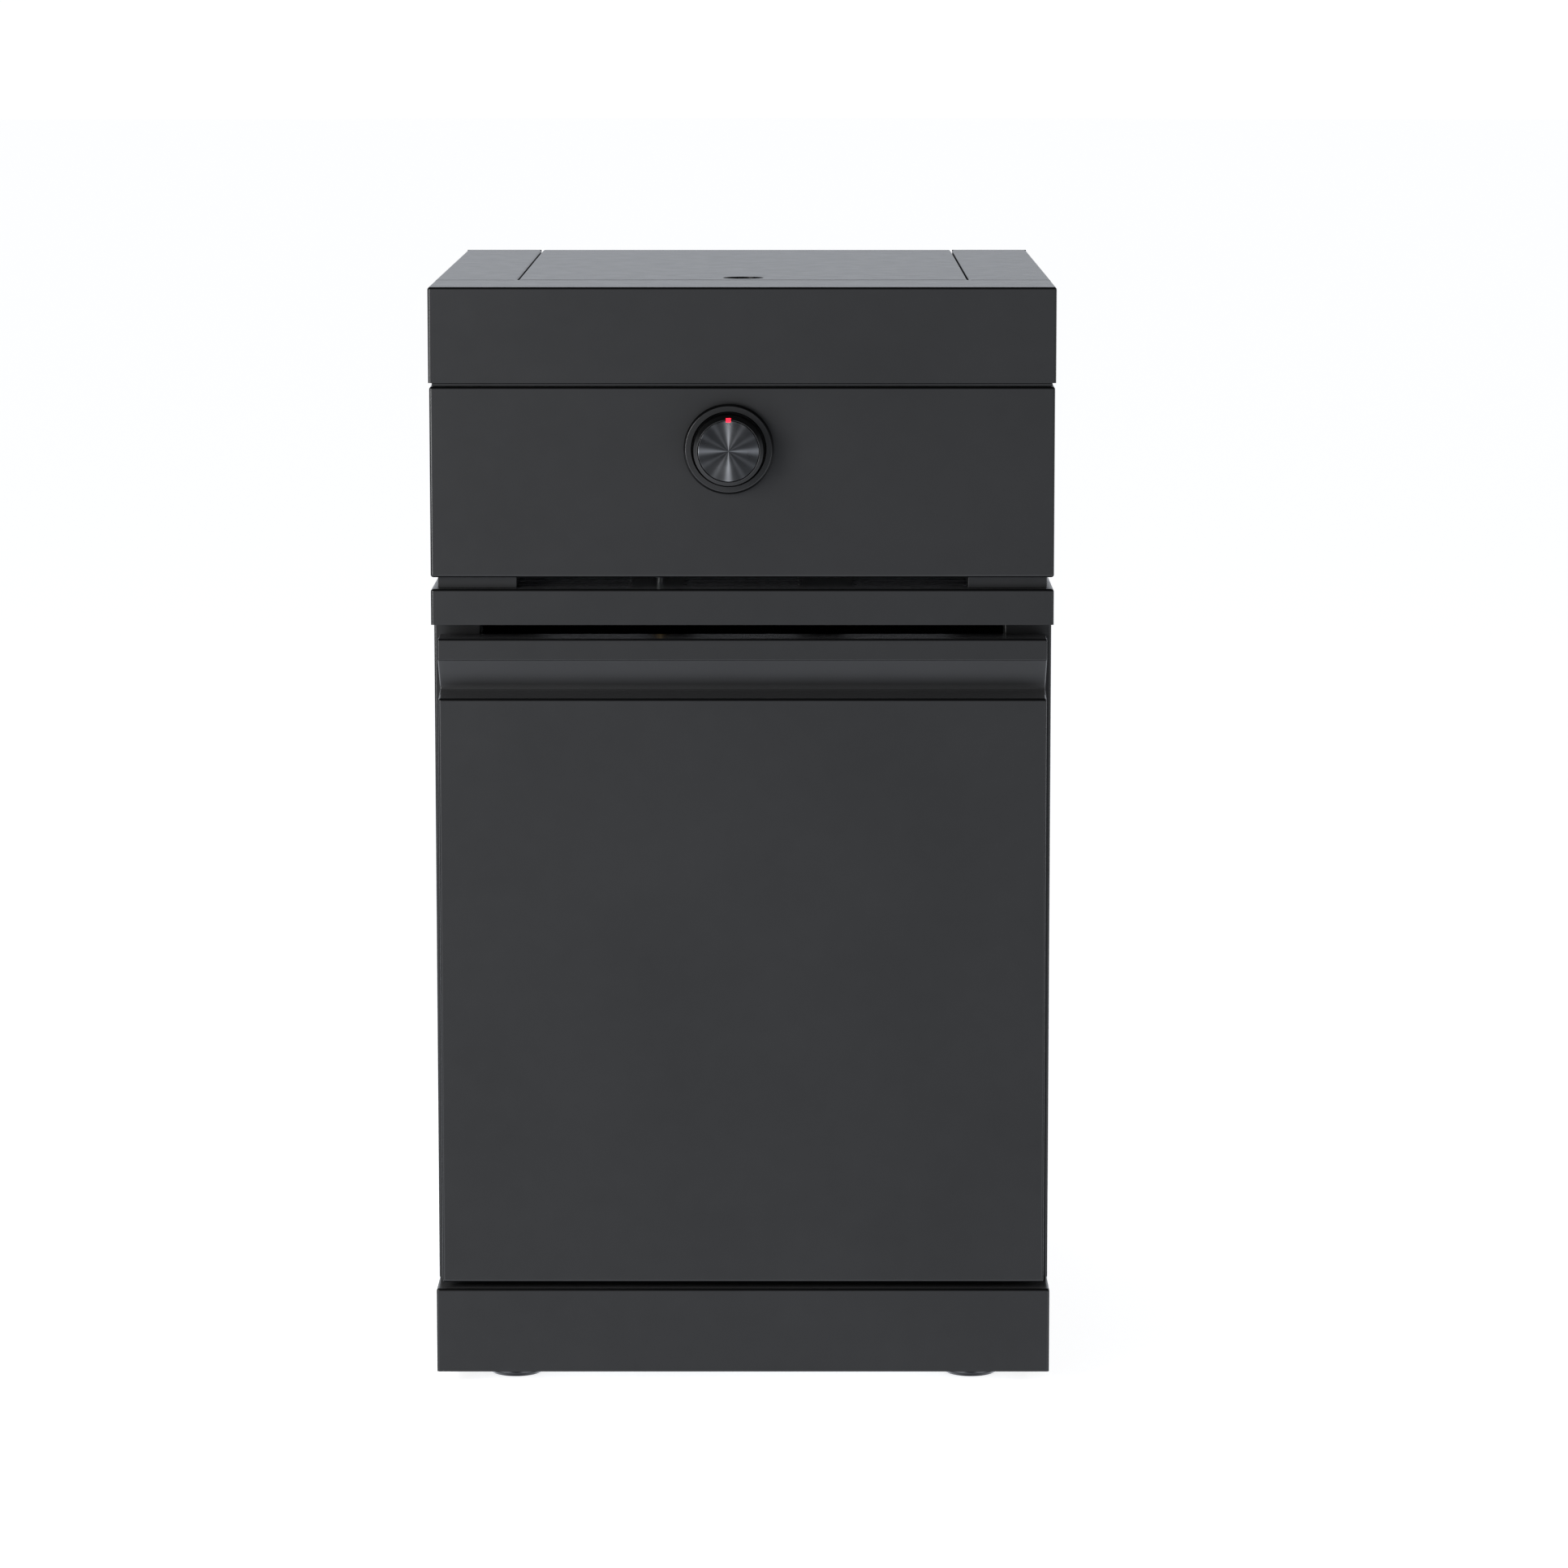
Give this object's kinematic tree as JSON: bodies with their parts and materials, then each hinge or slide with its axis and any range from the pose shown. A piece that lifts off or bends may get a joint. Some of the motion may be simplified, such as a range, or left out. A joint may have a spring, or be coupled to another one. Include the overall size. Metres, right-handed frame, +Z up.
{
  "type": "side burner cabinet",
  "caption": "Black outdoor-kitchen side burner cabinet: lidded hob top, control box with a spun-metal knob, slotted vent gap, cupboard door with a full-width finger grip.",
  "frame": {"origin": "on the floor, under the middle of the whole object's box", "axes": "+X to the object's right as seen from the front, +Y to the back, +Z up"},
  "size_m": [0.5116, 0.655, 0.914],
  "materials": {
    "powder_coat": "fine matte powder coat",
    "black_plastic": "satin",
    "satin_black": "satin enamel",
    "zinc_plate": "dull zinc plate",
    "stainless_steel": "brushed",
    "cast_iron": "matte enamel",
    "brass": "machined",
    "rubber": "matte",
    "ceramic": "glazed",
    "spun_metal": "spun, radial highlights",
    "red_marker": "gloss"
  },
  "bodies": {
    "cabinet": {"back_panel": "powder_coat", "burner_box_back": "powder_coat", "burner_box_side_left": "powder_coat", "burner_box_side_right": "powder_coat", "burner_cap": "cast_iron", "burner_head": "zinc_plate", "burner_tube": "zinc_plate", "control_panel": "powder_coat", "cylinder_ring": "powder_coat", "drip_bowl": "stainless_steel", "floor_tray": "powder_coat", "foot_rail_back": "zinc_plate", "foot_rail_front": "zinc_plate", "gas_pipe": "stainless_steel", "gas_valve": "zinc_plate", "heat_shield": "zinc_plate", "hinge_arm_lower": "zinc_plate", "hinge_arm_upper": "zinc_plate", "hob_back": "powder_coat", "hob_fascia": "powder_coat", "hose_connector": "brass", "igniter_electrode": "ceramic", "joint_frame": "powder_coat", "knob_bezel": "satin_black", "lid_buffer_left": "rubber", "lid_buffer_right": "rubber", "lid_hinge_body_leaf": "stainless_steel", "lid_hinge_pin": "stainless_steel", "magnet_catch": "black_plastic", "pan_support": "cast_iron", "plinth": "powder_coat", "side_deck_left": "powder_coat", "side_deck_right": "powder_coat", "side_panel_left": "powder_coat", "side_panel_right": "powder_coat", "spacer_rail_left": "powder_coat", "spacer_rail_right": "powder_coat", "vent_deck": "powder_coat"},
    "door": {"door_skin": "powder_coat", "door_grip": "powder_coat", "grip_end_left": "black_plastic", "grip_end_right": "black_plastic", "door_liner": "powder_coat", "hinge_bracket_lower": "zinc_plate", "hinge_bracket_upper": "zinc_plate", "hinge_pin_lower": "stainless_steel", "hinge_pin_upper": "stainless_steel", "strike_plate": "zinc_plate"},
    "lid": {"burner_lid": "powder_coat", "lid_hinge_lid_leaf": "stainless_steel"},
    "knob_slider": {"stem_collar": "stainless_steel"},
    "knob": {"control_knob": "satin_black", "knob_disc": "spun_metal", "knob_pointer": "red_marker", "valve_stem": "brass"},
    "foot_front_left": {"foot_front_left": "black_plastic"},
    "foot_front_right": {"foot_front_right": "black_plastic"},
    "foot_back_left": {"foot_back_left": "black_plastic"},
    "foot_back_right": {"foot_back_right": "black_plastic"}
  },
  "joints": [
    {"name": "door_hinge", "type": "hinge", "parent": "cabinet", "child": "door", "pos_m": [0.241, -0.2855, 0.332], "axis": [0, 0, 1], "range_deg": [0, 110]},
    {"name": "lid_hinge", "type": "hinge", "parent": "cabinet", "child": "lid", "pos_m": [0, 0.324, 0.9027], "axis": [-1, 0, 0], "range_deg": [0, 95]},
    {"name": "knob_push", "type": "slide", "parent": "cabinet", "child": "knob_slider", "axis": [0, 1, 0], "range_m": [0, 0.003], "stiffness_N_per_m": 1500},
    {"name": "knob_turn", "type": "hinge", "parent": "knob_slider", "child": "knob", "pos_m": [-0.011, -0.3275, 0.7826], "axis": [0, -1, 0], "range_deg": [0, 210]},
    {"name": "foot_front_left_screw", "type": "slide", "parent": "cabinet", "child": "foot_front_left", "axis": [0, 0, 1], "range_m": [-0.015, 0]},
    {"name": "foot_front_right_screw", "type": "slide", "parent": "cabinet", "child": "foot_front_right", "axis": [0, 0, 1], "range_m": [-0.015, 0]},
    {"name": "foot_back_left_screw", "type": "slide", "parent": "cabinet", "child": "foot_back_left", "axis": [0, 0, 1], "range_m": [-0.015, 0]},
    {"name": "foot_back_right_screw", "type": "slide", "parent": "cabinet", "child": "foot_back_right", "axis": [0, 0, 1], "range_m": [-0.015, 0]}
  ]
}
